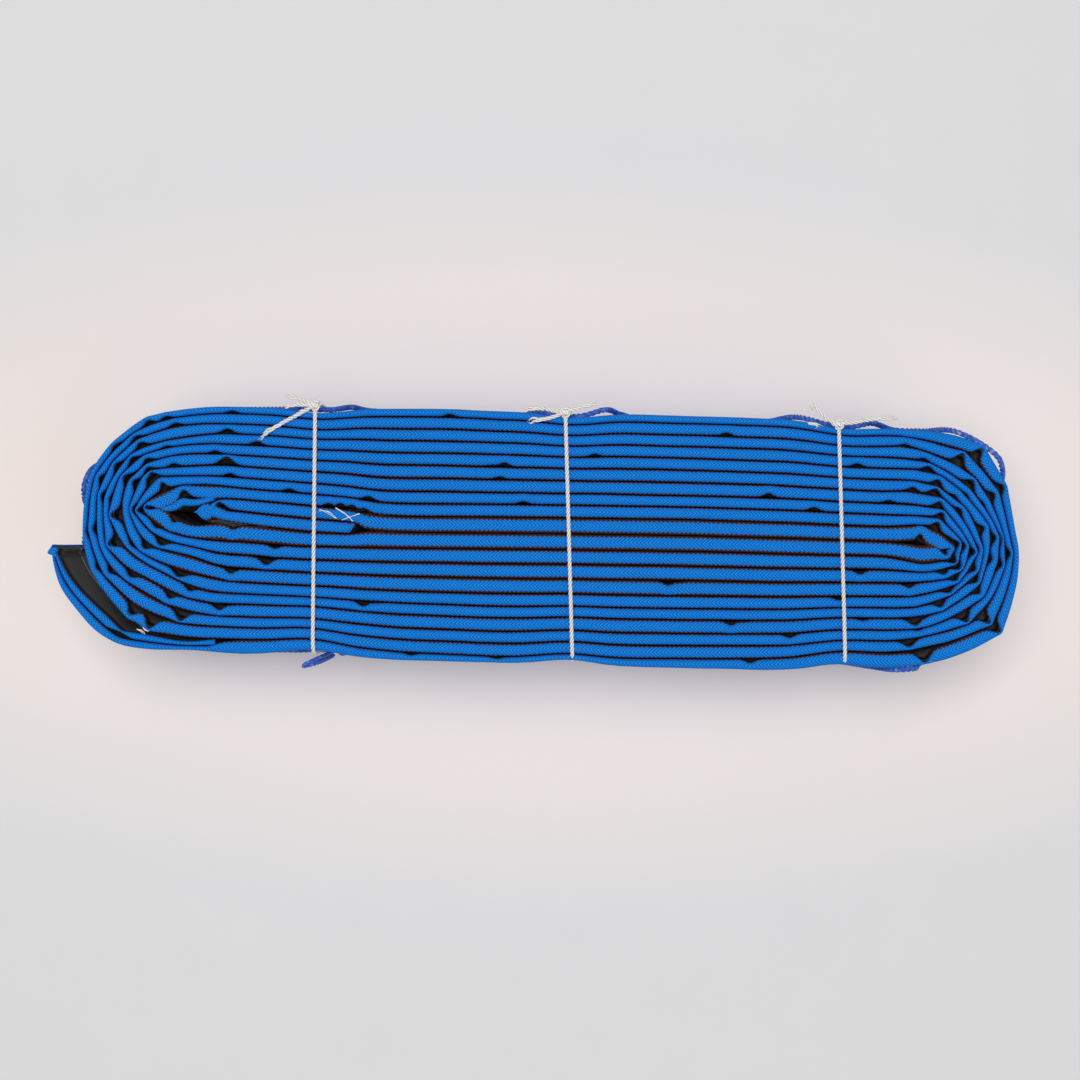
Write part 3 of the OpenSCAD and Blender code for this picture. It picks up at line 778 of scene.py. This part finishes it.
def coatedJacket():
    # woven polyester jacket: a fine blue twill on the folds, with painted light and shade on its
    # ribs;
    # painted brown-black shade where neighbouring turns close in below the folds; and painted
    # shade turning the walls inside the roll dull grey, with two pale tracer threads
    material = bpy.data.materials.new("woven_polyester_jacket")
    material.use_nodes = True
    tree = material.node_tree
    shader = tree.nodes["Principled BSDF"]
    shader.inputs["Roughness"].default_value = 0.8
    shader.inputs["Specular IOR Level"].default_value = 0.12
    uv = addNode(tree, "UVMap", uv_map="UVMap").outputs["UV"]
    split = addNode(tree, "SeparateXYZ", {"Vector": uv})

    def sums(operation, first, second=0.0, third=0.0):
        node = addNode(tree, "Math", {0: first, 1: second, 2: third}, operation=operation)
        return node.outputs[0]

    def span(value, low, high, first=0.0, last=1.0):
        node = addNode(tree, "MapRange", {"Value": value, "From Min": low, "From Max": high,
                                          "To Min": first, "To Max": last})
        return node.outputs["Result"]

    def blended(share, first, second, way="MIX"):
        node = addNode(tree, "Mix", {0: share, 6: first, 7: second}, data_type="RGBA",
                       blend_type=way)
        return node.outputs[2]

    along, around = split.outputs["X"], split.outputs["Y"]
    away = sums("ABSOLUTE", around)   # from the upper fold, down either wall
    pitch = 1.9 * mm   # the real ribs are half as far apart, too fine to show
    ribs = sums("FRACT", sums("DIVIDE", sums("MULTIPLY_ADD", away, 1.15, along), pitch))
    ribHeight = span(sums("ABSOLUTE", sums("SUBTRACT", ribs, 0.5)), 0.05, 0.42, 1.0, 0.0)
    wide = addNode(tree, "Mapping", {"Vector": uv, "Scale": (60, 90, 1)}).outputs["Vector"]
    patches = addNode(tree, "TexNoise", {"Vector": wide, "Scale": 1.0, "Detail": 3.0})
    fine = addNode(tree, "Mapping", {"Vector": uv, "Scale": (900, 1500, 1)}).outputs["Vector"]
    fibres = addNode(tree, "TexNoise", {"Vector": fine, "Scale": 1.0, "Detail": 2.0})
    # painted light and shade: each twill rib is lighter on its crown and darker in its grooves
    blue = blended(ribHeight, toLinear("#03539C"), toLinear("#1292FA"))
    blue = blended(span(patches.outputs["Fac"], 0.3, 0.7, 0.0, 0.5), blue, toLinear("#0A76D8"))
    blue = blended(span(fibres.outputs["Fac"], 0.55, 0.75, 0.0, 0.35), blue, toLinear("#3E9CF4"))
    teeth = sums("ABSOLUTE", sums("SUBTRACT", sums("FRACT", sums("DIVIDE", along, 2.3 * mm)),
                                  0.5))
    edge = sums("MULTIPLY_ADD", teeth, 2.4 * mm, away)   # the saw-toothed edge of the painted shade band
    outside = addNode(tree, "Attribute", attribute_name="mark").outputs["Fac"]
    hidden = sums("SUBTRACT", 1.0, outside)
    # painted shade: brown-black below the fold on the hidden walls, where the turns shade each
    # other
    gapShade = sums("MULTIPLY", span(edge, 3.1 * mm, 3.7 * mm), hidden)
    gapShadeBrown = blended(fibres.outputs["Fac"], toLinear("#2A1A10"), toLinear("#5C3420"))
    shade = blended(gapShade, blue, gapShadeBrown)
    # painted shade: the hidden walls turn dull grey from 8 to 12 mm below the fold; the exposed
    # outer wall stays blue
    insideShade = sums("MULTIPLY", span(away, 8 * mm, 12 * mm), hidden)
    fromMiddle = sums("ABSOLUTE", sums("SUBTRACT", away, 54.5 * mm))   # half the hose's width
    tracer = span(sums("ABSOLUTE", sums("SUBTRACT", fromMiddle, 7 * mm)), 0.5 * mm, 0.9 * mm,
                  1.0, 0.0)
    grey = blended(tracer, toLinear("#787876"), toLinear("#F0F0EA"))
    shade = blended(insideShade, shade, grey)
    tree.links.new(shade, shader.inputs["Base Color"])
    height = sums("MULTIPLY_ADD", fibres.outputs["Fac"], 0.4, ribHeight)
    bump = addNode(tree, "Bump", {"Height": height, "Strength": 0.55, "Distance": 0.00025})
    tree.links.new(bump.outputs["Normal"], shader.inputs["Normal"])
    return material


def linerRubber():
    # extruded nitrile rubber: near black, satin, with a soft grain
    material = bpy.data.materials.new("nitrile_rubber_liner")
    material.use_nodes = True
    tree = material.node_tree
    shader = tree.nodes["Principled BSDF"]
    shader.inputs["Roughness"].default_value = 0.55
    place = addNode(tree, "TexCoord").outputs["Object"]
    grain = addNode(tree, "TexNoise", {"Vector": place, "Scale": 900.0, "Detail": 2.0})
    tint = addNode(tree, "Mix", {0: grain.outputs["Fac"], 6: toLinear("#0C0C0D"),
                                 7: toLinear("#1E1D1C")}, data_type="RGBA")
    tree.links.new(tint.outputs[2], shader.inputs["Base Color"])
    bump = addNode(tree, "Bump", {"Height": grain.outputs["Fac"], "Strength": 0.3,
                                  "Distance": 0.0001})
    tree.links.new(bump.outputs["Normal"], shader.inputs["Normal"])
    return material


def layPleat(spots):
    # a short fold of spare hose in the core: x, y and thickness
    line = smoothLine(spots, 1.0)
    tangents = unit(np.gradient(line[:, :2], axis=0))
    inward = np.stack([tangents[:, 1], -tangents[:, 0]], axis=1)
    at = np.arange(len(line)) * 1.0
    return at, line[:, :2], tangents, inward, line[:, 2], [], np.zeros(len(at))


def makeHose():
    laid = layHose()
    rows, uv, places = hoseRings(laid, slant=hose["endSlant"])
    outside = places > places[-1] - hose["openFrom"]
    foldBack = places > places[-1] - hose["foldBack"]
    marks = np.zeros(rows.shape[:2])   # 1 on the exposed wall, which the jacket's painted shade leaves blue down to the floor
    marks[outside & ~foldBack, :rows.shape[1] // 2] = 1.0
    bm = bmesh.new()
    addTube(bm, rows, uv, marks)
    for spots in pleats:
        pleatRows, pleatUv, _ = hoseRings(layPleat(spots), high=hoseWidth - 0.6, capDepth=2.0,
                                          waist=2.0, coarse=2.0)
        addTube(bm, pleatRows, pleatUv)
    finishPiece(bm, "hose_woven_jacket", coatedJacket(), ["hose_jacket"])
    linerRows, linerUv, _ = hoseRings(laid, inset=hose["linerInset"], low=2.5,
                                      high=hoseWidth - 2.5, capDepth=1.0, waist=1.4,
                                      coarse=10, fine=2.5, wobble=0.3)
    bm = bmesh.new()
    addTube(bm, linerRows, linerUv)
    finishPiece(bm, "hose_rubber_lining", linerRubber(), ["hose_liner"])
    print("hose is", round(float(laid[0][-1])), "mm long in", len(places), "rings")


makeHose()
print("hose made")


# Loose white yarns at the hose's two cut ends

endYarns = {
    "inner": [[(-110.5, 12, 105.4), (-106, 10.6, 106.2), (-102, 7.9, 105.5)],
              [(-102.5, 13.2, 105.4), (-98.5, 11.2, 106), (-95.5, 9, 105.5)],
              [(-99, 7.4, 105.4), (-94.5, 9, 106.2), (-90.5, 10.6, 105.5)],
              [(-97, 9.4, 105.4), (-95.4, 8.2, 105.8), (-94, 6.6, 105.4)]],
    "outer": [[(-199.8, -50.2, 105.3), (-198, -51, 105.7), (-196.4, -52, 105.3)],
              [(-197.2, -49.4, 105.3), (-196, -50.3, 105.7), (-194.6, -50.9, 105.3)]],
}


def whitePolyester():
    # textured polyester weft yarn: bright white, soft and matt
    material = bpy.data.materials.new("textured_polyester_yarn")
    material.use_nodes = True
    tree = material.node_tree
    shader = tree.nodes["Principled BSDF"]
    shader.inputs["Roughness"].default_value = 0.9
    place = addNode(tree, "TexCoord").outputs["Object"]
    grain = addNode(tree, "TexNoise", {"Vector": place, "Scale": 1500.0, "Detail": 1.0})
    tint = addNode(tree, "Mix", {0: grain.outputs["Fac"], 6: toLinear("#D9DADC"),
                                 7: toLinear("#FFFFFF")}, data_type="RGBA")
    tree.links.new(tint.outputs[2], shader.inputs["Base Color"])
    return material


def makeYarns(parts):
    material = whitePolyester()
    draw = np.random.default_rng(9)
    for end, node in (("inner", "inner_end_yarns"), ("outer", "outer_end_yarns")):
        bm = bmesh.new()
        for spots in parts[end]:
            for _ in range(3):  # filaments
                bow = draw.normal(0, 0.28, (len(spots), 3)) * (1, 1, 0.3)
                addStrand(bm, smoothLine(np.array(spots) + bow, 0.5), 0.15, plies=1, lobe=5,
                          lay=60)
        finishPiece(bm, end + "_end_loose_yarns", material, [node])


makeYarns(endYarns)
print("end yarns made")


# Floor and light: pale paper under a large soft source

studio = {
    "floor": "#E6E5E5",
    "lamp": 31.5,         # watts
    "sky": 0.33,
}


def paleCard():
    # uncoated card: even and matt, with barely visible fibre; painted light makes it paler and
    # warmer round the roll
    material = bpy.data.materials.new("uncoated_card")
    material.use_nodes = True
    tree = material.node_tree
    shader = tree.nodes["Principled BSDF"]
    shader.inputs["Roughness"].default_value = 0.9
    place = addNode(tree, "TexCoord").outputs["Object"]
    grain = addNode(tree, "TexNoise", {"Vector": place, "Scale": 30.0, "Detail": 2.0})
    tint = addNode(tree, "Mix", {0: grain.outputs["Fac"], 6: toLinear(studio["floor"]),
                                 7: toLinear("#E8E7E7")}, data_type="RGBA")
    # painted light: a paler, warmer oval round the roll lifts the shade the roll casts and warms
    # its blue bounce
    oval = addNode(tree, "Mapping", {"Vector": place, "Scale": (1 / 0.30, 1 / 0.13, 1)})
    reach = addNode(tree, "VectorMath", {0: oval.outputs["Vector"]}, operation="LENGTH")
    near = addNode(tree, "MapRange", {"Value": reach.outputs["Value"], "From Min": 0.85,
                                      "From Max": 1.7, "To Min": 1.0, "To Max": 0.0},
                   interpolation_type="SMOOTHSTEP")
    paintedWarmLight = addNode(tree, "Mix", {0: near.outputs["Result"], 6: tint.outputs[2],
                                 7: toLinear("#FCF1EA")}, data_type="RGBA")
    tree.links.new(paintedWarmLight.outputs[2], shader.inputs["Base Color"])
    return material


def addStudio(setup):
    bm = bmesh.new()
    bmesh.ops.create_grid(bm, x_segments=2, y_segments=2, size=3.0)
    mesh = bpy.data.meshes.new("floor")
    bm.to_mesh(mesh)
    bm.free()
    floor = bpy.data.objects.new("floor", mesh)
    bpy.context.collection.objects.link(floor)
    mesh.materials.append(paleCard())
    lamps = (("overhead_softbox", (-0.15, 0.2, 2.3), 1.1, 1.0),
             ("fill_softbox", (1.4, -1.2, 1.8), 2.0, 0.15))
    for name, place, size, share in lamps:
        lamp = bpy.data.objects.new(name, bpy.data.lights.new(name, "AREA"))
        bpy.context.collection.objects.link(lamp)
        lamp.data.size = size
        lamp.data.energy = setup["lamp"] * share
        lamp.location = place
        aim = mathutils.Vector(place).to_track_quat("Z", "Y")
        lamp.rotation_euler = aim.to_euler()
    world = bpy.data.worlds.new("studio")
    bpy.context.scene.world = world
    world.use_nodes = True
    back = world.node_tree.nodes["Background"]
    back.inputs["Color"].default_value = (1, 1, 1, 1)
    back.inputs["Strength"].default_value = setup["sky"]
    bpy.context.scene.view_settings.view_transform = "Standard"


addStudio(studio)
